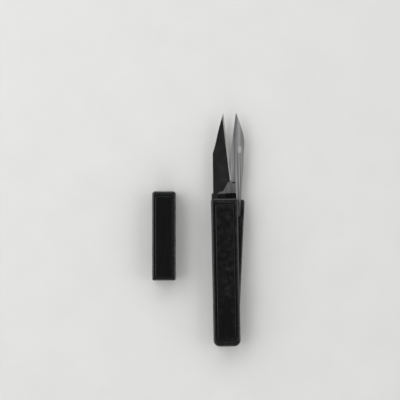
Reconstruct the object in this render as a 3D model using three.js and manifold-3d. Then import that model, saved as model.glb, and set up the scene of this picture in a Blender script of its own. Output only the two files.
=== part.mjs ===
import * as THREE from "three";
import { ConvexGeometry } from "three/addons/geometries/ConvexGeometry.js";
import { mergeVertices } from "three/addons/utils/BufferGeometryUtils.js";
import Module from "manifold-3d";

// Thread snips, lying flat. A channel-shaped handle of two moulded shells carries the upper blade.
// A lever that turns about a pin near the handle's rear end carries the lower blade, and a leaf
// spring holds it open. A loose cap for the blades lies beside the handle.
// Millimetres. +Y runs to the blade tips, +X to the side where the lever opens, +Z up.
// Inside the handle group, x = 0 is the handle's centreline and y = 0 its rear end.

const wasm = await Module();
wasm.setup();

// Handle
const HANDLE_LENGTH = 56.1;
const HANDLE_WIDTH = 10.2;
const THICKNESS = 8;
const MIDDLE_Z = THICKNESS / 2;
const REAR_CORNER = 2.4;
const FRONT_CORNER = 0.9;
const EDGE_ROUND = 0.6;
const SEAM_Z = 3.95;
const SEAM_GAP = 0.1;
const ROOF = 1.3;
const WEB_FACE_X = -1;
const CHANNEL_REAR = 1.7;
const LIP_WIDTH = 9.6;
const LIP_REAR = HANDLE_LENGTH - 1.4;
const LIP_FRONT = HANDLE_LENGTH + 2.2;
const LIP_CORNER = 0.7;
const LIP_ROUND = 0.3;
const OVERSHOOT = 1; // how far a cutting shape runs past the surface it cuts

// Panels let into the broad faces of the handle and the cap
const RECESS_WIDTH = 8.1;
const RECESS_REAR = 2.2;
const RECESS_FRONT = HANDLE_LENGTH - 1.65;
const RECESS_DEPTH = 0.75;
const RECESS_REAR_CORNER = 1.5;
const RECESS_FRONT_CORNER = 0.9;
const PANEL_GROOVE = 0.52;
const PANEL_THICKNESS = 0.65;
const PANEL_ROUND = 0.28;
const GLUE_GAP = 0.05;
const MARK_Y = 18.8;
const MARK_LENGTH = 1.6;
const MARK_WIDTH = 0.35;
const MARK_HEIGHT = 0.05;

// Pivot
const PIVOT_X = 1.9;
const PIVOT_Y = 4.6;
const PIVOT_RADIUS = 1;
const WASHER_RADIUS = 2.2;
const WASHER_THICKNESS = 0.3;
const WASHER_GAP = 0.1;
const OPEN_ANGLE = THREE.MathUtils.degToRad(3.6);
const FIT = 0.1;

// Lever, drawn closed with the pivot at its origin
const LEVER_SIDE = 2.6;
const LEVER_FRONT = 51.2;
const LEVER_LOW = 1.8;
const LEVER_HIGH = 6.2;
const LEVER_ROUND = 0.5;
const TANG_WINDOW_LEFT = 0.3;
const TANG_WINDOW_REAR = 44.8;
const NOSE_HIGH = 4.3;
const SPRING_POCKET_FLOOR = -1.7;
const SPRING_POCKET_REAR = 5;
const SPRING_POCKET_FRONT = 48;

// Stop pin, which crosses a slot in the lever
const STOP_X = 2.7;
const STOP_Y = 25;
const STOP_RADIUS = 0.75;

// Blades: the lower one on the lever, the upper one in the handle
const BLADE_THICKNESS = 1;
const LOWER_BLADE_Z = 2.9;
const UPPER_BLADE_Z = 4;
const EDGE_WIDTH = 1.1;
const EDGE_DEPTH = 0.85;
const RUN_OUT = 0.8;
const RIVET_RADIUS = 0.45;
const RIVET_HEAD_RADIUS = 0.62;
const RIVET_HEAD_HEIGHT = 0.2;

// Upper blade: its cutting edge runs from tip to heel, and an unground heel lies behind that
const UPPER_TIP = [0.26, 88.9];
const UPPER_HEEL = [2.86, 62.5];
const UPPER_REAR = 57.9;
const UPPER_GRIND_REAR = HANDLE_LENGTH - 0.6;
const UPPER_GRIND_WIDTH = 7.8;
const UPPER_GRIND_DEPTH = 0.42;
const UPPER_NECK_RIGHT = -2.4;
const UPPER_TANG_LEFT = -4.2;
const UPPER_TANG_RIGHT = -1.75;
const UPPER_TANG_REAR = 34;
const UPPER_RIVET_X = -2.85;
const UPPER_RIVETS_Y = [52, 38];
const NOTCH_RADIUS = 0.4;

// Lower blade
const LOWER_TIP = [-2.13, 84.3];
const LOWER_HEEL = [-4, 62.5];
const LOWER_REAR = 53.85;
const LOWER_GRIND_WIDTH = 6.6;
const LOWER_GRIND_DEPTH = 0.35;
const LOWER_GRIND_START = 1.2;
const LOWER_TANG_LEFT = -0.6;
const LOWER_TANG_RIGHT = 1.3;
const LOWER_TANG_REAR = 28;
const LOWER_RIVET_X = 0.35;
const LOWER_RIVETS_Y = [41.5, 31.5];
const HOLE_RADIUS = 0.68;
const HOLE_LENGTH = 2.6;
const HOLE_X = -0.1;
const HOLE_Y = 70.2;
const SLOT_LEFT = -2.1;
const SLOT_RIGHT = -1.45;
const SLOT_Y = 57.55;
const SLOT_RADIUS = 0.32;
const SLOT_DEPTH = 0.6;

// Leaf spring
const SPRING_THICKNESS = 0.3;
const SPRING_LOW = 2.7;
const SPRING_HIGH = 5.3;
const SPRING_X = WEB_FACE_X + GLUE_GAP + SPRING_THICKNESS / 2;
const SPRING_REAR = 11;
const SPRING_RIVET_Y = 14.5;
const SPRING_RIVET_RADIUS = 0.5;
const SPRING_RIVET_TIP = -3.3;

// Cap
const CAP_WIDTH = 8.9;
const CAP_LENGTH = 33.8;
const CAP_MIDDLE_X = -23.2;
const CAP_MIDDLE_Y = 42.4;
const CAP_TURN = THREE.MathUtils.degToRad(1.1);
const CAP_SIDE_WALL = 0.6;
const CAP_FACE_WALL = 1.25;
const CAP_END_WALL = 1.2;
const CAP_HOLLOW_CORNER = 0.8;
const CAP_HOLLOW_ROUND = 0.4;
const CAP_MOUTH_CORNER = 0.65;
const CAP_END_CORNER = 1.1;
const CAP_RECESS_WIDTH = 7.4;
const CAP_RECESS_MOUTH = 0.7;
const CAP_RECESS_END = CAP_LENGTH - 1.45;
const CAP_RECESS_CORNER = 0.75;
const CAP_RECESS_DEPTH = 0.7;
const CAP_GROOVE = 0.4;
const CAP_PANEL_THICKNESS = 0.6;

const nylon = { color: 0x17181a, roughness: 0.55, metalness: 0 };
const panelNylon = { color: 0x101113, roughness: 0.42, metalness: 0 };
const steel = { color: 0xb9bcbf, roughness: 0.25, metalness: 1 };
const satinSteel = { color: 0xa7a9ab, roughness: 0.4, metalness: 1 };
const springSteel = { color: 0x8d9094, roughness: 0.35, metalness: 1 };
const washerNylon = { color: 0xd9d6cc, roughness: 0.5, metalness: 0 };

// A closed three.js geometry as a solid for cutting and joining.
function toSolid(geometry) {
  const bare = geometry.clone();
  bare.deleteAttribute("normal");
  bare.deleteAttribute("uv");
  const merged = mergeVertices(bare);
  return new wasm.Manifold(
    new wasm.Mesh({
      numProp: 3,
      vertProperties: merged.attributes.position.array,
      triVerts: new Uint32Array(merged.index.array),
    }),
  );
}

function toMesh(name, solid, finish) {
  const cut = solid.getMesh();
  const geometry = new THREE.BufferGeometry();
  geometry.setAttribute("position", new THREE.BufferAttribute(new Float32Array(cut.vertProperties), 3));
  geometry.setIndex(new THREE.BufferAttribute(new Uint32Array(cut.triVerts), 1));
  geometry.computeVertexNormals();
  const mesh = new THREE.Mesh(geometry, new THREE.MeshStandardMaterial(finish));
  mesh.name = name;
  return mesh;
}

function outline(points) {
  return new THREE.Shape(points.map(([x, y]) => new THREE.Vector2(x, y)));
}

function roundedRect(left, right, rear, front, rearRadius, frontRadius) {
  const shape = new THREE.Shape();
  const quarter = Math.PI / 2;
  shape.absarc(right - frontRadius, front - frontRadius, frontRadius, 0, quarter, false);
  shape.absarc(left + frontRadius, front - frontRadius, frontRadius, quarter, 2 * quarter, false);
  shape.absarc(left + rearRadius, rear + rearRadius, rearRadius, 2 * quarter, 3 * quarter, false);
  shape.absarc(right - rearRadius, rear + rearRadius, rearRadius, 3 * quarter, 4 * quarter, false);
  return shape;
}

// A slot with round ends about two points.
function capsule([startX, startY], [endX, endY], radius) {
  const angle = Math.atan2(endY - startY, endX - startX);
  const quarter = Math.PI / 2;
  const shape = new THREE.Shape();
  shape.absarc(endX, endY, radius, angle - quarter, angle + quarter, false);
  shape.absarc(startX, startY, radius, angle + quarter, angle + 3 * quarter, false);
  return shape;
}

// A straight-sided solid between two heights.
function prism(shape, low, high, curveSegments = 6) {
  const geometry = new THREE.ExtrudeGeometry(shape, {
    depth: high - low,
    bevelEnabled: false,
    curveSegments,
  });
  return toSolid(geometry.translate(0, 0, low));
}

// The same with its top and bottom edges rounded.
function softPrism(shape, low, high, round, segments = 5) {
  const geometry = new THREE.ExtrudeGeometry(shape, {
    depth: high - low - 2 * round,
    bevelThickness: round,
    bevelSize: round,
    bevelOffset: -round,
    bevelSegments: segments,
    curveSegments: segments,
  });
  return toSolid(geometry.translate(0, 0, low + round));
}

function box(left, right, rear, front, low, high) {
  const geometry = new THREE.BoxGeometry(right - left, front - rear, high - low);
  return toSolid(geometry.translate((left + right) / 2, (rear + front) / 2, (low + high) / 2));
}

function rod(x, y, radius, low, high, segments = 32) {
  const geometry = new THREE.CylinderGeometry(radius, radius, high - low, segments);
  return toSolid(geometry.rotateX(Math.PI / 2).translate(x, y, (low + high) / 2));
}

// A rod along X through the spring's rivet hole.
function crossRod(left, right, radius) {
  const geometry = new THREE.CylinderGeometry(radius, radius, right - left, 16);
  return toSolid(geometry.rotateZ(Math.PI / 2).translate((left + right) / 2, SPRING_RIVET_Y, MIDDLE_Z));
}

// What is left of a solid after each cutter is taken from it.
function cut(solid, cutters) {
  return cutters.reduce((left, cutter) => left.subtract(cutter), solid);
}

// The hole for a rivet, with a wider seat at each end for the heads. seat is its depth from z = 0
// and from the top of the handle.
function rivetHole(x, y, seat) {
  const top = THICKNESS + OVERSHOOT;
  const headRadius = RIVET_HEAD_RADIUS + FIT / 2;
  return rod(x, y, RIVET_RADIUS + FIT, -OVERSHOOT, top)
    .add(rod(x, y, headRadius, -OVERSHOOT, seat))
    .add(rod(x, y, headRadius, THICKNESS - seat, top));
}

// A rivet standing along Z, with a low domed head at each end.
function rivet(x, y, low, high) {
  const half = RIVET_HEAD_HEIGHT / 2;
  const crown = RIVET_HEAD_RADIUS * 0.75;
  return turned(x, y, [
    [0, low],
    [crown, low],
    [RIVET_HEAD_RADIUS, low + half],
    [RIVET_HEAD_RADIUS, low + RIVET_HEAD_HEIGHT],
    [RIVET_RADIUS, low + RIVET_HEAD_HEIGHT],
    [RIVET_RADIUS, high - RIVET_HEAD_HEIGHT],
    [RIVET_HEAD_RADIUS, high - RIVET_HEAD_HEIGHT],
    [RIVET_HEAD_RADIUS, high - half],
    [crown, high],
    [0, high],
  ]);
}

// A solid turned about an upright axis from a profile of [radius, z] points.
function turned(x, y, profile) {
  const geometry = new THREE.LatheGeometry(
    profile.map(([r, z]) => new THREE.Vector2(r, z)),
    24,
  );
  return toSolid(geometry.rotateX(Math.PI / 2).translate(x, y, 0));
}

// The material ground off one face of a blade along a straight edge, with a sloped run-out at the
// heel. inwardX is the side of the edge that the blade lies on; facing is +1 to grind its upper
// face and -1 to grind its lower face.
function grindWedge(start, end, inwardX, faceZ, facing, width, depth) {
  const along = new THREE.Vector3(end[0] - start[0], end[1] - start[1], 0);
  const length = along.length();
  along.normalize();
  const inward = new THREE.Vector3(along.y * inwardX, -along.x * inwardX, 0);
  const up = new THREE.Vector3(0, 0, facing);
  const outside = -OVERSHOOT;
  const above = OVERSHOOT;
  const edgeDrop = depth - (depth / width) * outside;
  const points = [];
  for (const [distance, drop] of [[-RUN_OUT, 0], [0, edgeDrop], [length, edgeDrop]]) {
    for (const [across, height] of [[width, 0], [width, above], [outside, above], [outside, -drop]]) {
      points.push(
        new THREE.Vector3(start[0], start[1], faceZ)
          .addScaledVector(inward, across)
          .addScaledVector(up, height)
          .addScaledVector(along, distance),
      );
    }
  }
  return toSolid(new ConvexGeometry(points));
}

// The space the lever moves in: open to +X and at the front, and round at the rear behind the eye.
function leverChannel() {
  const low = ROOF;
  const high = THICKNESS - ROOF;
  const past = HANDLE_WIDTH / 2 + OVERSHOOT;
  return box(WEB_FACE_X, past, PIVOT_Y, HANDLE_LENGTH + OVERSHOOT, low, high)
    .add(rod(PIVOT_X, PIVOT_Y, PIVOT_X - WEB_FACE_X, low, high))
    .add(box(PIVOT_X, past, CHANNEL_REAR, PIVOT_Y, low, high));
}

function handleRecess(low, high) {
  const half = RECESS_WIDTH / 2;
  const corners = [RECESS_REAR_CORNER, RECESS_FRONT_CORNER];
  return prism(roundedRect(-half, half, RECESS_REAR, RECESS_FRONT, ...corners), low, high, 4);
}

// The pocket in the front shell's seam face for the upper blade's tang.
function tangPocket() {
  return box(
    UPPER_TANG_LEFT - 2 * FIT,
    UPPER_TANG_RIGHT + 1.5 * FIT,
    UPPER_TANG_REAR - 2 * FIT,
    HANDLE_LENGTH + OVERSHOOT,
    UPPER_BLADE_Z - OVERSHOOT,
    UPPER_BLADE_Z + BLADE_THICKNESS + FIT,
  );
}

// Holes through both shells for the pivot pin, the stop pin and the blade's two rivets, and the
// cross hole for the spring's rivet.
function shellHoles() {
  const top = THICKNESS + OVERSHOOT;
  const holes = [
    rod(PIVOT_X, PIVOT_Y, PIVOT_RADIUS + FIT, -OVERSHOOT, top),
    rod(STOP_X, STOP_Y, STOP_RADIUS + FIT, -OVERSHOOT, top),
    crossRod(SPRING_RIVET_TIP - FIT, WEB_FACE_X + OVERSHOOT, SPRING_RIVET_RADIUS + FIT),
  ];
  const seat = RECESS_DEPTH + RIVET_HEAD_HEIGHT + 2 * FIT;
  for (const y of UPPER_RIVETS_Y) {
    holes.push(rivetHole(UPPER_RIVET_X, y, seat));
  }
  return holes;
}

function handleBody() {
  const half = HANDLE_WIDTH / 2;
  const shape = roundedRect(-half, half, 0, HANDLE_LENGTH, REAR_CORNER, FRONT_CORNER);
  return cut(softPrism(shape, 0, THICKNESS, EDGE_ROUND), [
    leverChannel(),
    handleRecess(-OVERSHOOT, RECESS_DEPTH),
    handleRecess(THICKNESS - RECESS_DEPTH, THICKNESS + OVERSHOOT),
    ...shellHoles(),
  ]);
}

// A block over the handle's whole outline, between two heights.
function slab(low, high) {
  const past = HANDLE_WIDTH / 2 + OVERSHOOT;
  return box(-past, past, -OVERSHOOT, HANDLE_LENGTH + OVERSHOOT, low, high);
}

function frontShell() {
  return cut(handleBody(), [slab(-OVERSHOOT, SEAM_Z + SEAM_GAP / 2), tangPocket()]);
}

// The rear shell ends in a thin lip that reaches forward under the heels of the blades.
function rearShell() {
  const half = LIP_WIDTH / 2;
  const lip = roundedRect(-half, half, LIP_REAR, LIP_FRONT, LIP_CORNER, LIP_CORNER);
  return cut(handleBody(), [slab(SEAM_Z - SEAM_GAP / 2, THICKNESS + OVERSHOOT)]).add(
    softPrism(lip, 0, ROOF, LIP_ROUND, 3),
  );
}

function gripPanel(low) {
  const half = RECESS_WIDTH / 2 - PANEL_GROOVE;
  const rear = RECESS_REAR + PANEL_GROOVE;
  const front = RECESS_FRONT - PANEL_GROOVE;
  const rearCorner = RECESS_REAR_CORNER - PANEL_GROOVE;
  const frontCorner = RECESS_FRONT_CORNER - PANEL_GROOVE;
  const shape = roundedRect(-half, half, rear, front, rearCorner, frontCorner);
  return softPrism(shape, low, low + PANEL_THICKNESS, PANEL_ROUND, 4);
}

// The front panel carries a short raised dash near its rear end.
function frontGripPanel(low) {
  const half = MARK_LENGTH / 2;
  const side = MARK_WIDTH / 2;
  const dash = roundedRect(-half, half, MARK_Y - side, MARK_Y + side, side * 0.9, side * 0.9);
  const top = low + PANEL_THICKNESS;
  return gripPanel(low).add(prism(dash, top - MARK_HEIGHT, top + MARK_HEIGHT, 2));
}

// Both pins end just under the panels.
function throughPin(x, y, radius) {
  const low = RECESS_DEPTH + FIT;
  const high = THICKNESS - RECESS_DEPTH - FIT;
  const chamfer = 0.2;
  return turned(x, y, [
    [0, low],
    [radius - chamfer, low],
    [radius, low + chamfer],
    [radius, high - chamfer],
    [radius - chamfer, high],
    [0, high],
  ]);
}

function pivotWasher(low) {
  const high = low + WASHER_THICKNESS;
  const hole = rod(PIVOT_X, PIVOT_Y, PIVOT_RADIUS + FIT, low - OVERSHOOT, high + OVERSHOOT);
  return cut(rod(PIVOT_X, PIVOT_Y, WASHER_RADIUS, low, high), [hole]);
}

// The area of the upper blade's face that is ground: all but the heel, which it leaves in a curve.
function upperGroundArea() {
  const far = HANDLE_WIDTH;
  const front = UPPER_TIP[1] + OVERSHOOT;
  const shape = outline([[far, front], [-far, front], [-far, UPPER_GRIND_REAR]]);
  shape.lineTo(UPPER_NECK_RIGHT, UPPER_GRIND_REAR);
  shape.lineTo(UPPER_NECK_RIGHT, UPPER_REAR);
  shape.quadraticCurveTo(-2.35, 58.7, -1.3, 58.75);
  shape.quadraticCurveTo(-0.4, 58.8, -0.1, 59.3);
  shape.lineTo(1.25, 61.8);
  shape.quadraticCurveTo(1.6, 62.4, 2.3, UPPER_HEEL[1]);
  shape.lineTo(far, UPPER_HEEL[1]);
  return shape;
}

function upperBladeOutline() {
  const [tipX, tipY] = UPPER_TIP;
  const [heelX, heelY] = UPPER_HEEL;
  const lean = (heelX - tipX) / (tipY - heelY);
  const rearX = heelX + lean * (heelY - UPPER_REAR);
  const shape = outline([UPPER_TIP]);
  shape.quadraticCurveTo(-1.6, 83, -2.6, 78.6);
  shape.quadraticCurveTo(-3.4, 75.2, -4.05, 73.6);
  shape.quadraticCurveTo(-4.1, 73, -4.1, 72);
  shape.lineTo(UPPER_TANG_LEFT, UPPER_REAR);
  shape.lineTo(UPPER_TANG_LEFT, UPPER_TANG_REAR);
  shape.lineTo(UPPER_TANG_RIGHT, UPPER_TANG_REAR);
  shape.lineTo(UPPER_TANG_RIGHT, HANDLE_LENGTH - 0.6);
  shape.lineTo(UPPER_NECK_RIGHT, HANDLE_LENGTH - 0.2);
  shape.lineTo(UPPER_NECK_RIGHT, UPPER_REAR - 0.5);
  shape.quadraticCurveTo(UPPER_NECK_RIGHT, UPPER_REAR, UPPER_NECK_RIGHT + 0.5, UPPER_REAR);
  shape.lineTo(rearX - 0.7, UPPER_REAR + 0.3);
  shape.quadraticCurveTo(rearX, UPPER_REAR + 0.3, rearX - lean, UPPER_REAR + 1);
  shape.lineTo(heelX, heelY);
  shape.lineTo(tipX, tipY);
  return shape;
}

function upperBlade() {
  const [tipX, tipY] = UPPER_TIP;
  const [heelX, heelY] = UPPER_HEEL;
  const low = UPPER_BLADE_Z;
  const high = low + BLADE_THICKNESS;
  const run = (tipX - heelX) / (tipY - heelY);
  const past = [tipX + 2 * run, tipY + 2];
  const behind = [heelX + run * (UPPER_GRIND_REAR - heelY), UPPER_GRIND_REAR];
  const ground = grindWedge(behind, past, -1, high, 1, UPPER_GRIND_WIDTH, UPPER_GRIND_DEPTH);
  const cutters = [
    ground.intersect(prism(upperGroundArea(), low, high + 2 * OVERSHOOT)),
    grindWedge([heelX, heelY + RUN_OUT], past, -1, high, 1, EDGE_WIDTH, EDGE_DEPTH),
    rod(heelX + NOTCH_RADIUS / 4, heelY, NOTCH_RADIUS, low - OVERSHOOT, high + OVERSHOOT, 24),
  ];
  for (const y of UPPER_RIVETS_Y) {
    cutters.push(rod(UPPER_RIVET_X, y, RIVET_RADIUS + FIT, low - OVERSHOOT, high + OVERSHOOT));
  }
  return cut(prism(upperBladeOutline(), low, high), cutters);
}

function upperRivet(y) {
  const low = RECESS_DEPTH + FIT;
  return rivet(UPPER_RIVET_X, y, low, THICKNESS - low);
}

// The leaf spring's centre line, from its riveted foot to the tip that curls under the lever.
function springCurves() {
  const foot = [SPRING_X, SPRING_REAR];
  const bend = [SPRING_X, 19];
  const crown = [2.35, 45];
  const tip = [1.2, 47.4];
  const point = ([x, y]) => new THREE.Vector2(x, y);
  const leaf = [bend, [SPRING_X, 30], [1.6, 36], crown].map(point);
  const curl = [crown, [2.5, 46.8], [2, 47.6], tip].map(point);
  return [
    new THREE.LineCurve(point(foot), point(bend)),
    new THREE.CubicBezierCurve(...leaf),
    new THREE.CubicBezierCurve(...curl),
  ];
}

// A strip of even thickness along the centre line, with a hole for its rivet.
function leafSpring() {
  const steps = 12;
  const right = [];
  const left = [];
  for (const curve of springCurves()) {
    const count = curve.isLineCurve ? 1 : steps;
    for (let i = right.length ? 1 : 0; i <= count; i += 1) {
      const point = curve.getPoint(i / count);
      const tangent = curve.getTangent(i / count);
      const offset = new THREE.Vector2(tangent.y, -tangent.x).multiplyScalar(SPRING_THICKNESS / 2);
      right.push(point.clone().add(offset));
      left.push(point.clone().sub(offset));
    }
  }
  const strip = prism(new THREE.Shape([...right, ...left.reverse()]), SPRING_LOW, SPRING_HIGH);
  const hole = crossRod(SPRING_X - OVERSHOOT, SPRING_X + OVERSHOOT, SPRING_RIVET_RADIUS + FIT);
  return cut(strip, [hole]);
}

// A rivet along X whose head holds the leaf spring's foot against the web.
function springRivet() {
  const head = 1;
  const under = WEB_FACE_X + 2 * GLUE_GAP + SPRING_THICKNESS;
  const profile = [
    [0, SPRING_RIVET_TIP],
    [SPRING_RIVET_RADIUS, SPRING_RIVET_TIP],
    [SPRING_RIVET_RADIUS, under],
    [head, under],
    [head * 0.8, under + 0.25],
    [0, under + 0.35],
  ];
  const geometry = new THREE.LatheGeometry(
    profile.map(([r, x]) => new THREE.Vector2(r, x)),
    16,
  );
  return toSolid(geometry.rotateZ(-Math.PI / 2).translate(0, SPRING_RIVET_Y, MIDDLE_Z));
}

// Where the stop pin stands as the lever sees it, at an angle of the lever from closed.
function stopPinInLever(angle) {
  const spot = new THREE.Vector2(STOP_X - PIVOT_X, STOP_Y - PIVOT_Y);
  return spot.rotateAround(new THREE.Vector2(), angle).toArray();
}

function stopSlot() {
  const radius = STOP_RADIUS + FIT;
  return prism(capsule(stopPinInLever(0), stopPinInLever(OPEN_ANGLE), radius), 0, THICKNESS);
}

// The lever: slots for the tang and the stop pin, a pocket for the leaf spring, and a lowered nose
// where a window shows the tang.
function leverArm() {
  const shape = new THREE.Shape();
  const corner = 0.8;
  shape.absarc(0, 0, LEVER_SIDE, Math.PI, 2 * Math.PI, false);
  shape.absarc(LEVER_SIDE - corner, LEVER_FRONT - corner, corner, 0, Math.PI / 2, false);
  shape.absarc(corner - LEVER_SIDE, LEVER_FRONT - corner, corner, Math.PI / 2, Math.PI, false);
  const left = LOWER_TANG_LEFT - 2 * FIT;
  const right = LOWER_TANG_RIGHT + 2 * FIT;
  const front = LEVER_FRONT + OVERSHOOT;
  const slotHigh = LOWER_BLADE_Z + BLADE_THICKNESS + FIT;
  const cutters = [
    rod(0, 0, PIVOT_RADIUS + FIT, 0, THICKNESS),
    box(left, right, LOWER_TANG_REAR - 4 * FIT, front, LOWER_BLADE_Z - FIT, slotHigh),
    box(TANG_WINDOW_LEFT, right, TANG_WINDOW_REAR, front, LOWER_BLADE_Z, THICKNESS),
    box(TANG_WINDOW_LEFT, LEVER_SIDE + OVERSHOOT, TANG_WINDOW_REAR, front, NOSE_HIGH, THICKNESS),
    box(
      -LEVER_SIDE - OVERSHOOT,
      SPRING_POCKET_FLOOR,
      SPRING_POCKET_REAR,
      SPRING_POCKET_FRONT,
      SPRING_LOW - 3 * FIT,
      SPRING_HIGH + 3 * FIT,
    ),
    stopSlot(),
  ];
  for (const y of LOWER_RIVETS_Y) {
    cutters.push(rivetHole(LOWER_RIVET_X, y, LEVER_LOW + RIVET_HEAD_HEIGHT + 2 * FIT));
  }
  return cut(softPrism(shape, LEVER_LOW, LEVER_HIGH, LEVER_ROUND), cutters);
}

// An oval hole along the blade, and a blind slot across it near its heel.
function lowerBladeSlots(low, high) {
  const half = HOLE_LENGTH / 2 - HOLE_RADIUS;
  const hole = [[HOLE_X, HOLE_Y - half], [HOLE_X, HOLE_Y + half]];
  const slot = [[SLOT_LEFT, SLOT_Y], [SLOT_RIGHT, SLOT_Y]];
  return [
    prism(capsule(...hole, HOLE_RADIUS), low - OVERSHOOT, high + OVERSHOOT),
    prism(capsule(...slot, SLOT_RADIUS), high - SLOT_DEPTH, high + OVERSHOOT),
  ];
}

function lowerBladeOutline() {
  const [tipX, tipY] = LOWER_TIP;
  const corner = 1.2;
  const side = -4.15;
  const shape = outline([LOWER_TIP, LOWER_HEEL]);
  shape.lineTo(side, LOWER_REAR + corner);
  shape.quadraticCurveTo(side, LOWER_REAR, side + corner, LOWER_REAR);
  shape.lineTo(LOWER_TANG_LEFT, LOWER_REAR);
  shape.lineTo(LOWER_TANG_LEFT, LOWER_TANG_REAR);
  shape.lineTo(LOWER_TANG_RIGHT, LOWER_TANG_REAR);
  shape.lineTo(LOWER_TANG_RIGHT, 54);
  shape.lineTo(1.6, 64);
  shape.lineTo(1.6, 72);
  shape.quadraticCurveTo(1.6, 74.3, 0.9, 76.5);
  shape.quadraticCurveTo(-0.4, 80.6, tipX, tipY);
  return shape;
}

function lowerBlade() {
  const [tipX, tipY] = LOWER_TIP;
  const [heelX, heelY] = LOWER_HEEL;
  const low = LOWER_BLADE_Z;
  const high = low + BLADE_THICKNESS;
  const run = (tipX - heelX) / (tipY - heelY);
  const past = [tipX + 2 * run, tipY + 2];
  const start = [heelX + run * LOWER_GRIND_START, heelY + LOWER_GRIND_START];
  const edgeStart = [heelX + run * RUN_OUT, heelY + RUN_OUT];
  const cutters = [
    grindWedge(start, past, 1, low, -1, LOWER_GRIND_WIDTH, LOWER_GRIND_DEPTH),
    grindWedge(edgeStart, past, 1, low, -1, EDGE_WIDTH, EDGE_DEPTH),
    ...lowerBladeSlots(low, high),
  ];
  for (const y of LOWER_RIVETS_Y) {
    cutters.push(rod(LOWER_RIVET_X, y, RIVET_RADIUS + FIT, low - OVERSHOOT, high + OVERSHOOT));
  }
  return cut(prism(lowerBladeOutline(), low, high), cutters);
}

function lowerRivet(y) {
  return rivet(LOWER_RIVET_X, y, LEVER_LOW + FIT, LEVER_HIGH - FIT);
}

function capRecess(low, high) {
  const half = CAP_RECESS_WIDTH / 2;
  const corners = [CAP_RECESS_CORNER, CAP_RECESS_CORNER];
  return prism(roundedRect(-half, half, CAP_RECESS_MOUTH, CAP_RECESS_END, ...corners), low, high, 4);
}

function capShell() {
  const half = CAP_WIDTH / 2;
  const inner = half - CAP_SIDE_WALL;
  const mouth = -2 * CAP_HOLLOW_CORNER - CAP_HOLLOW_ROUND;
  const shape = roundedRect(-half, half, 0, CAP_LENGTH, CAP_MOUTH_CORNER, CAP_END_CORNER);
  const hollow = softPrism(
    roundedRect(-inner, inner, mouth, CAP_LENGTH - CAP_END_WALL, CAP_HOLLOW_CORNER, CAP_HOLLOW_CORNER),
    CAP_FACE_WALL,
    THICKNESS - CAP_FACE_WALL,
    CAP_HOLLOW_ROUND,
  );
  return cut(softPrism(shape, 0, THICKNESS, EDGE_ROUND), [
    hollow,
    capRecess(-OVERSHOOT, CAP_RECESS_DEPTH),
    capRecess(THICKNESS - CAP_RECESS_DEPTH, THICKNESS + OVERSHOOT),
  ]);
}

function capPanel(low) {
  const half = CAP_RECESS_WIDTH / 2 - CAP_GROOVE;
  const rear = CAP_RECESS_MOUTH + CAP_GROOVE;
  const front = CAP_RECESS_END - CAP_GROOVE;
  const corner = CAP_RECESS_CORNER - CAP_GROOVE;
  const shape = roundedRect(-half, half, rear, front, corner, corner);
  return softPrism(shape, low, low + CAP_PANEL_THICKNESS, PANEL_ROUND, 4);
}

function makeHandle() {
  const handle = new THREE.Group();
  const panelLow = RECESS_DEPTH - GLUE_GAP - PANEL_THICKNESS;
  const panelHigh = THICKNESS - RECESS_DEPTH + GLUE_GAP;
  handle.add(
    toMesh("front_shell", frontShell(), nylon),
    toMesh("rear_shell", rearShell(), nylon),
    toMesh("front_grip_panel", frontGripPanel(panelHigh), panelNylon),
    toMesh("rear_grip_panel", gripPanel(panelLow), panelNylon),
    toMesh("upper_blade", upperBlade(), steel),
    toMesh("upper_blade_rivet_front", upperRivet(UPPER_RIVETS_Y[0]), springSteel),
    toMesh("upper_blade_rivet_rear", upperRivet(UPPER_RIVETS_Y[1]), springSteel),
    toMesh("pivot_pin", throughPin(PIVOT_X, PIVOT_Y, PIVOT_RADIUS), springSteel),
    toMesh("pivot_washer_lower", pivotWasher(ROOF + WASHER_GAP), washerNylon),
    toMesh(
      "pivot_washer_upper",
      pivotWasher(THICKNESS - ROOF - WASHER_GAP - WASHER_THICKNESS),
      washerNylon,
    ),
    toMesh("stop_pin", throughPin(STOP_X, STOP_Y, STOP_RADIUS), springSteel),
    toMesh("return_spring", leafSpring(), springSteel),
    toMesh("spring_rivet", springRivet(), springSteel),
  );
  return handle;
}

function makeLever() {
  const lever = new THREE.Group();
  lever.add(
    toMesh("lever_arm", leverArm(), nylon),
    toMesh("lower_blade", lowerBlade(), satinSteel),
    toMesh("lower_blade_rivet_front", lowerRivet(LOWER_RIVETS_Y[0]), springSteel),
    toMesh("lower_blade_rivet_rear", lowerRivet(LOWER_RIVETS_Y[1]), springSteel),
  );
  lever.position.set(PIVOT_X, PIVOT_Y, 0);
  lever.rotation.z = -OPEN_ANGLE;
  return lever;
}

function makeCap() {
  const cap = new THREE.Group();
  cap.add(
    toMesh("cap_shell", capShell(), nylon),
    toMesh("cap_front_panel", capPanel(THICKNESS - CAP_RECESS_DEPTH + GLUE_GAP), panelNylon),
    toMesh("cap_rear_panel", capPanel(CAP_RECESS_DEPTH - GLUE_GAP - CAP_PANEL_THICKNESS), panelNylon),
  );
  const toMouth = CAP_LENGTH / 2;
  cap.position.set(
    CAP_MIDDLE_X - toMouth * Math.sin(CAP_TURN),
    CAP_MIDDLE_Y - toMouth * Math.cos(CAP_TURN),
    0,
  );
  cap.rotation.z = -CAP_TURN;
  return cap;
}

// The part's origin is at the middle of the whole set's footprint, on the surface it lies on.
const snips = new THREE.Group();
snips.add(makeHandle(), makeLever(), makeCap());
const middle = new THREE.Box3().setFromObject(snips, true).getCenter(new THREE.Vector3());
for (const piece of snips.children) {
  piece.position.x -= middle.x;
  piece.position.y -= middle.y;
}

export default snips;
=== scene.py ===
import math

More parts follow.
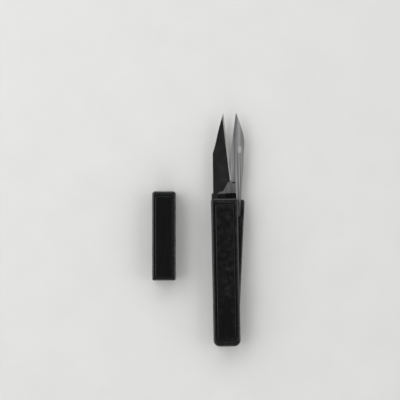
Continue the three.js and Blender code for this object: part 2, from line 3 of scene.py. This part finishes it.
import bpy
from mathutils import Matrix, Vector


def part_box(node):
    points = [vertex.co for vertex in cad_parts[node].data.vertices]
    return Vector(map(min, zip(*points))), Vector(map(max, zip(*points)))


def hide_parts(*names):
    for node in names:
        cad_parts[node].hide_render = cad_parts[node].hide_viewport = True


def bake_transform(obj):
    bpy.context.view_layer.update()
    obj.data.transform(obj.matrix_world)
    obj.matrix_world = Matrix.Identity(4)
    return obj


# Black nylon thread snips with steel blades and a loose cap, lying on a pale table.
# Metres, in the CAD frame: +Y to the blade tips, +X to the lever's side, +Z up.

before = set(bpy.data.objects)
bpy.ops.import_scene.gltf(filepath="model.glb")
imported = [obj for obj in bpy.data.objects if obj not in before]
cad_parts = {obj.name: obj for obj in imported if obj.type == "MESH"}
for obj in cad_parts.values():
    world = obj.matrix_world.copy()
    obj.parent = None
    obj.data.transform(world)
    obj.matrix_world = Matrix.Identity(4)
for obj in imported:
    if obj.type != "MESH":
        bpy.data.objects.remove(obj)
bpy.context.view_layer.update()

MM = 0.001

# Camera: straight above, turned so that the cap stands upright in the picture
VIEW_WIDTH = 152 * MM
CAMERA_HEIGHT = 0.7
CAMERA_X = 0.7 * MM
CAMERA_Y = 11.3 * MM
CAMERA_TURN = math.radians(-1.1)
VIEW_HEIGHT = 6 * MM  # the height at which the picture is VIEW_WIDTH wide
SENSOR = 36

# Softboxes, all facing the object: name, place, size and power in watts
SOFTBOXES = [
    ("left", (-0.46, 0.14, 0.40), (0.9, 0.7), 4.3),
    ("right", (0.5, -0.05, 0.36), (0.5, 0.5), 1.4),
    ("front", (0.04, 0.54, 0.40), (0.9, 0.4), 2.2),
    ("rear", (-0.05, -0.55, 0.36), (0.8, 0.4), 1.7),
]

# The world's grey levels, each with the height of the direction where it starts: 0 level, 1 overhead
WORLD_LOW = (0.35, 0.5)
WORLD_HIGH = (0.92, 0.042)

FLOOR_SIZE = 4
FLOOR_DROP = 0.02 * MM

# Rounds on the CAD nodes' sharp edges
SHELL_ROUND = 0.12 * MM
PANEL_ROUND = 0.02 * MM
WASHER_ROUND = 0.05 * MM
PIN_ROUND = 0.04 * MM
ROUND_SEGMENTS = 2
SHARP_ANGLE = math.radians(35)
WELD_DISTANCE = 0.0005 * MM

# Where the blades' finishes change, and where the painted shade in the lower blade's slot starts
LEVEL_LEAN = math.radians(1)  # a face that leans less is level
GROUND_LEAN = math.radians(2.5)  # a face that leans more is ground
HONED_LEAN = (math.radians(12), math.radians(25))
GRIND_START = 0.03 * MM  # depth below the top face where the ground face takes over
SLOT_MARGIN = 0.3 * MM  # the blind slot's bottom is further than this from both faces of the blade; level faces this far inside get painted shade

LEVER_TURN = math.radians(3.6)  # how far the lever's length leans from +Y towards +X at rest
BRUSH_TURN = math.radians(5)
HONE_TURN = math.radians(-8)

# Leaf spring, measured forward from the rear end of its foot
SPRING_CROWN = 34 * MM
SPRING_TIP_SHIFT = 0.6 * MM


class Material:
    """A node material on a Principled shader, with short ways to add and link nodes."""

    def __init__(self, name, base, roughness, metallic=0.0):
        self.data = bpy.data.materials.new(name)
        self.data.use_nodes = True
        self.nodes = self.data.node_tree.nodes
        self.links = self.data.node_tree.links
        self.shader = self.nodes["Principled BSDF"]
        self.set(self.shader, "Base Color", (*base, 1))
        self.set(self.shader, "Roughness", roughness)
        self.set(self.shader, "Metallic", metallic)

    def set(self, node, socket, value):
        node.inputs[socket].default_value = value

    def add(self, kind, **sockets):
        node = self.nodes.new(kind)
        for socket, value in sockets.items():
            self.set(node, socket.replace("_", " "), value)
        return node

    def link(self, output, target):
        self.links.new(output, target)

    def place(self, stretch=(1, 1, 1), turn=0.0):
        """Object coordinates, turned about Z and stretched along the axes."""
        where = self.add("ShaderNodeTexCoord")
        mapping = self.add("ShaderNodeMapping", Scale=stretch, Rotation=(0, 0, turn))
        self.link(where.outputs["Object"], mapping.inputs["Vector"])
        return mapping.outputs["Vector"]

    def noise(self, scale, detail=3.0, roughness=0.5, stretch=(1, 1, 1), turn=0.0):
        """Noise from 0 to 1, with features about 1 / scale metres across."""
        texture = self.add("ShaderNodeTexNoise", Scale=scale, Detail=detail, Roughness=roughness)
        self.link(self.place(stretch, turn), texture.inputs["Vector"])
        return texture.outputs["Fac"]

    def spread(self, value, low, high, start=0.3, end=0.7):
        """value from start to end, mapped to low to high."""
        mapped = self.add("ShaderNodeMapRange", From_Min=start, From_Max=end, To_Min=low, To_Max=high)
        self.link(value, mapped.inputs["Value"])
        return mapped.outputs["Result"]

    def inverse(self, value):
        """0 where value is 1, and 1 where it is 0."""
        return self.spread(value, 1, 0, 0, 1)

    def height(self, low, high):
        """0 below the height low on the object, and 1 above high."""
        split = self.add("ShaderNodeSeparateXYZ")
        self.link(self.place(), split.inputs["Vector"])
        return self.spread(split.outputs["Z"], 0, 1, low, high)

    def slope(self, least, most):
        """0 where the face looks straight up or down, and 1 where it leans by most radians."""
        where = self.add("ShaderNodeTexCoord")
        split = self.add("ShaderNodeSeparateXYZ")
        size = self.add("ShaderNodeMath")
        size.operation = "ABSOLUTE"
        self.link(where.outputs["Normal"], split.inputs["Vector"])
        self.link(split.outputs["Z"], size.inputs[0])
        return self.spread(size.outputs["Value"], 1, 0, math.cos(most), math.cos(least))

    def level(self):
        """1 where the face looks straight up or down, and 0 where it leans."""
        return self.inverse(self.slope(LEVEL_LEAN, GROUND_LEAN))

    def edges(self, start, end):
        """1 on the outside edges, where a piece wears, and 0 on its flats."""
        shape = self.add("ShaderNodeNewGeometry")
        return self.spread(shape.outputs["Pointiness"], 0, 1, start, end)

    def times(self, first, second):
        product = self.add("ShaderNodeMath")
        product.operation = "MULTIPLY"
        for socket, value in zip(product.inputs, (first, second)):
            self.link(value, socket)
        return product.outputs["Value"]

    def between(self, factor, first, second, kind="RGBA"):
        """The output first where factor is 0, and second where it is 1."""
        mixed = self.add("ShaderNodeMix")
        mixed.data_type = kind
        sockets = [socket for socket in mixed.inputs if socket.enabled]
        for socket, value in zip(sockets, (factor, first, second)):
            self.link(value, socket)
        return next(socket for socket in mixed.outputs if socket.enabled)

    def colours(self, factor, stops):
        """A colour ramp over factor; stops are (place, colour)."""
        ramp = self.add("ShaderNodeValToRGB")
        elements = ramp.color_ramp.elements
        while len(elements) < len(stops):
            elements.new(0.5)
        for element, (place, colour) in zip(elements, stops):
            element.position = place
            element.color = (*colour, 1)
        self.link(factor, ramp.inputs["Fac"])
        return ramp.outputs["Color"]

    def bump(self, height, distance, strength=1.0, below=None):
        """Bump from a height, on top of an earlier bump."""
        made = self.add("ShaderNodeBump", Distance=distance, Strength=strength)
        self.link(height, made.inputs["Height"])
        if below:
            self.link(below, made.inputs["Normal"])
        return made.outputs["Normal"]

    def finish(self, colour=None, roughness=None, normal=None):
        for socket, value in (("Base Color", colour), ("Roughness", roughness), ("Normal", normal)):
            if value:
                self.link(value, self.shader.inputs[socket])
        return self.data


def grey(level, warmth=0.0):
    """A grey of that linear level; warmth above 0 leans to yellow and below 0 to blue."""
    return (level * (1 + warmth), level, level * (1 - warmth))


def shell_nylon():
    """Black moulded nylon with a fine spark-eroded grain, rubbed smooth and paler along its edges."""
    made = Material("shell_nylon", grey(0.007), 0.3)
    cloud = made.noise(220, 4)
    body = made.colours(cloud, [(0.35, grey(0.0052, -0.04)), (0.65, grey(0.0085, -0.03))])
    rubbed = made.colours(cloud, [(0.35, grey(0.016)), (0.65, grey(0.028))])
    wear = made.times(made.edges(0.53, 0.62), made.spread(made.noise(420, 5, 0.6), 0, 1, 0.42, 0.62))
    colour = made.between(wear, body, rubbed)
    roughness = made.spread(made.noise(900, 3), 0.25, 0.34)
    grain = made.bump(made.noise(5200, 2), 0.012 * MM, 0.7)
    flow = made.bump(made.noise(140, 2), 0.012 * MM, 0.4, grain)
    return made.finish(colour, roughness, flow)


def panel_nylon():
    """The same nylon from a polished cavity: smoother, with faint flow waves and hairline rubs."""
    made = Material("panel_nylon", grey(0.004), 0.24)
    made.set(made.shader, "Specular IOR Level", 0.28)
    cloud = made.noise(160, 5, stretch=(1, 0.35, 1))
    body = made.colours(cloud, [(0.3, grey(0.0038, -0.04)), (0.7, grey(0.005, -0.03))])
    rubbed = made.colours(cloud, [(0.3, grey(0.012)), (0.7, grey(0.02))])
    wear = made.times(made.edges(0.52, 0.58), made.spread(made.noise(500, 4), 0, 1, 0.4, 0.65))
    colour = made.between(wear, body, rubbed)
    rubs = made.noise(2600, 3, stretch=(1, 0.05, 1))
    roughness = made.spread(rubs, 0.2, 0.28)
    grain = made.bump(made.noise(3800, 2), 0.006 * MM, 0.5)
    flow = made.bump(made.noise(90, 2, stretch=(1, 0.4, 1)), 0.015 * MM, 0.4, grain)
    return made.finish(colour, roughness, flow)


def polished_steel():
    """Mirror-polished steel with a satin heel, and fine lines across its honed edge."""
    made = Material("polished_steel", grey(0.58), 0.14, 1.0)
    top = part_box("upper_blade")[1].z
    heel = made.times(made.level(), made.height(top - 2 * GRIND_START, top - GRIND_START))
    honed = made.slope(*HONED_LEAN)
    smudge = made.noise(260, 4)
    across = made.noise(5000, 2, stretch=(0.05, 1, 1), turn=HONE_TURN)
    along = made.noise(4500, 4, stretch=(1, 0.03, 1), turn=BRUSH_TURN)
    mirror = made.colours(smudge, [(0.3, grey(0.35, -0.01)), (0.7, grey(0.42, -0.01))])
    edge = made.colours(across, [(0.3, grey(0.2)), (0.7, grey(0.27))])
    satin = made.colours(along, [(0.3, grey(0.24)), (0.7, grey(0.32))])
    colour = made.between(heel, made.between(honed, mirror, edge), satin)
    polish = made.spread(smudge, 0.1, 0.18)
    rougher = made.between(honed, polish, made.spread(across, 0.2, 0.28), "FLOAT")
    roughness = made.between(heel, rougher, made.spread(along, 0.34, 0.42), "FLOAT")
    return made.finish(colour, roughness, made.bump(along, 0.0015 * MM, 0.3))


def satin_steel():
    """Steel brushed lengthwise, with painted shade darkening the bottom of its blind slot."""
    made = Material("satin_steel", grey(0.6), 0.42, 1.0)
    fine = made.noise(6000, 4, stretch=(1, 0.015, 1), turn=LEVER_TURN)
    coarse = made.noise(1300, 3, stretch=(1, 0.02, 1), turn=LEVER_TURN)
    streaks = made.between(made.spread(fine, 0.5, 0.9), fine, coarse, "FLOAT")
    bright = made.colours(streaks, [(0.36, grey(0.27)), (0.5, grey(0.4)), (0.64, grey(0.6))])
    # The dark colour is painted shade: near-black steel for the bottom of the blind slot, where shade
    # falls.
    dark = made.colours(fine, [(0.3, grey(0.05)), (0.7, grey(0.09))])
    low, high = (corner.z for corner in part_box("lower_blade"))
    sunk = made.inverse(made.height(high - SLOT_MARGIN, high - SLOT_MARGIN / 3))
    slot_shade_mask = made.times(made.height(low + SLOT_MARGIN, low + SLOT_MARGIN * 1.2), sunk)
    # The level faces at the slot's bottom get the painted shade instead of the brushed colour.
    colour = made.between(made.times(made.level(), slot_shade_mask), bright, dark)
    roughness = made.spread(streaks, 0.37, 0.48)
    return made.finish(colour, roughness, made.bump(streaks, 0.005 * MM, 0.6))


def fastener_steel(name, dark, bright):
    """Steel for pins, rivets and springs, with fine handling marks between two grey levels."""
    made = Material(name, grey(dark, -0.03), 0.32, 1.0)
    marks = made.noise(3000, 3)
    colour = made.colours(marks, [(0.3, grey(dark, -0.03)), (0.7, grey(bright, -0.03))])
    return made.finish(colour, made.spread(marks, 0.25, 0.42), made.bump(marks, 0.004 * MM, 0.6))


def washer_nylon():
    """Undyed nylon."""
    made = Material("washer_nylon", grey(0.68, 0.07), 0.45)
    cloud = made.noise(900, 3)
    colour = made.colours(cloud, [(0.3, grey(0.62, 0.08)), (0.7, grey(0.72, 0.06))])
    return made.finish(colour, made.spread(cloud, 0.38, 0.52), made.bump(cloud, 0.01 * MM, 0.5))


def round_edges(node, width):
    """Small rounds on a CAD node's sharp edges."""
    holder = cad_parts[node]
    weld = holder.modifiers.new("weld", "WELD")
    weld.merge_threshold = WELD_DISTANCE
    bevel = holder.modifiers.new("rounds", "BEVEL")
    bevel.width = width
    bevel.segments = ROUND_SEGMENTS
    bevel.limit_method = "ANGLE"
    bevel.angle_limit = SHARP_ANGLE


def smooth(node):
    """Smooth shading over a CAD node's curved faces, with its flats kept flat."""
    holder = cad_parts[node]
    holder.modifiers.new("shading", "WEIGHTED_NORMAL")
    for face in holder.data.polygons:
        face.use_smooth = True


def paint(nodes, finish, round_width=None, curved=True):
    """Gives nodes a material, rounds on their edges, and smooth shading if they have curved faces.
    Without a round width their edges stay sharp and their faces flat."""
    for node in nodes:
        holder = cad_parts[node]
        holder.data.materials.clear()
        holder.data.materials.append(finish)
        if round_width:
            round_edges(node, round_width)
        if round_width and curved:
            smooth(node)


def add_flexing_spring():
    """The leaf spring again, bent sideways from its crown onwards, more towards the tip. Its tip
    curls in less than the CAD solid's, which leaves it clear of the handle's web when the lever is
    shut."""
    low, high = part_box("return_spring")
    spring = bpy.data.objects.new("flexing_spring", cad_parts["return_spring"].data.copy())
    bpy.context.scene.collection.objects.link(spring)
    crown = low.y + SPRING_CROWN
    for vertex in spring.data.vertices:
        past = max(0, (vertex.co.y - crown) / (high.y - crown))
        vertex.co.x += SPRING_TIP_SHIFT * past * past
    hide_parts("return_spring")
    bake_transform(spring)


def add_floor():
    bpy.ops.mesh.primitive_grid_add(x_subdivisions=8, y_subdivisions=8, size=FLOOR_SIZE)
    floor = bpy.context.object
    floor.name = "floor"
    floor.location.z = -FLOOR_DROP
    made = Material("pale_floor", (0.58, 0.58, 0.57), 0.75)
    tone = made.colours(made.noise(60, 3), [(0.3, (0.57, 0.57, 0.56)), (0.7, (0.59, 0.59, 0.58))])
    floor.data.materials.append(made.finish(tone))


def add_softbox(name, place, size, power):
    data = bpy.data.lights.new(name, "AREA")
    data.shape = "RECTANGLE"
    data.size = size[0]
    data.size_y = size[1]
    data.energy = power
    lamp = bpy.data.objects.new(name, data)
    lamp.location = place
    lamp.rotation_euler = (-Vector(place)).to_track_quat("-Z", "Y").to_euler()
    bpy.context.scene.collection.objects.link(lamp)


def add_studio():
    """Softboxes low around the object, and a world that is pale at the horizon and dark overhead, so
    that polished steel and black nylon stay dark from above."""
    world = bpy.data.worlds.new("studio")
    world.use_nodes = True
    nodes = world.node_tree.nodes
    links = world.node_tree.links
    where = nodes.new("ShaderNodeTexCoord")
    split = nodes.new("ShaderNodeSeparateXYZ")
    ramp = nodes.new("ShaderNodeValToRGB")
    for element, (place, tone) in zip(ramp.color_ramp.elements, (WORLD_LOW, WORLD_HIGH)):
        element.position = place
        element.color = (*grey(tone), 1)
    links.new(where.outputs["Generated"], split.inputs["Vector"])
    links.new(split.outputs["Z"], ramp.inputs["Fac"])
    links.new(ramp.outputs["Color"], nodes["Background"].inputs["Color"])
    bpy.context.scene.world = world
    for softbox in SOFTBOXES:
        add_softbox(*softbox)
    bpy.context.scene.view_settings.view_transform = "Standard"


def add_camera():
    data = bpy.data.cameras.new("camera")
    data.sensor_width = SENSOR
    data.lens = SENSOR * (CAMERA_HEIGHT - VIEW_HEIGHT) / VIEW_WIDTH
    data.clip_start = 0.01
    camera = bpy.data.objects.new("camera", data)
    camera.location = (CAMERA_X, CAMERA_Y, CAMERA_HEIGHT)
    camera.rotation_euler = (0, 0, CAMERA_TURN)
    bpy.context.scene.collection.objects.link(camera)
    bpy.context.scene.camera = camera


paint(["front_shell", "rear_shell", "lever_arm", "cap_shell"], shell_nylon(), SHELL_ROUND)
panels = ["front_grip_panel", "rear_grip_panel", "cap_front_panel", "cap_rear_panel"]
paint(panels, panel_nylon(), PANEL_ROUND, curved=False)
paint(["upper_blade"], polished_steel())
paint(["lower_blade"], satin_steel())
paint(["pivot_washer_lower", "pivot_washer_upper"], washer_nylon(), WASHER_ROUND)
rivets = sorted(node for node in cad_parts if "rivet" in node)
paint(rivets, fastener_steel("blackened_steel", 0.035, 0.06), PIN_ROUND)
plated = ["pivot_pin", "stop_pin", "return_spring"]
paint(plated, fastener_steel("plated_steel", 0.36, 0.5), PIN_ROUND)
add_flexing_spring()

add_floor()
add_studio()
add_camera()
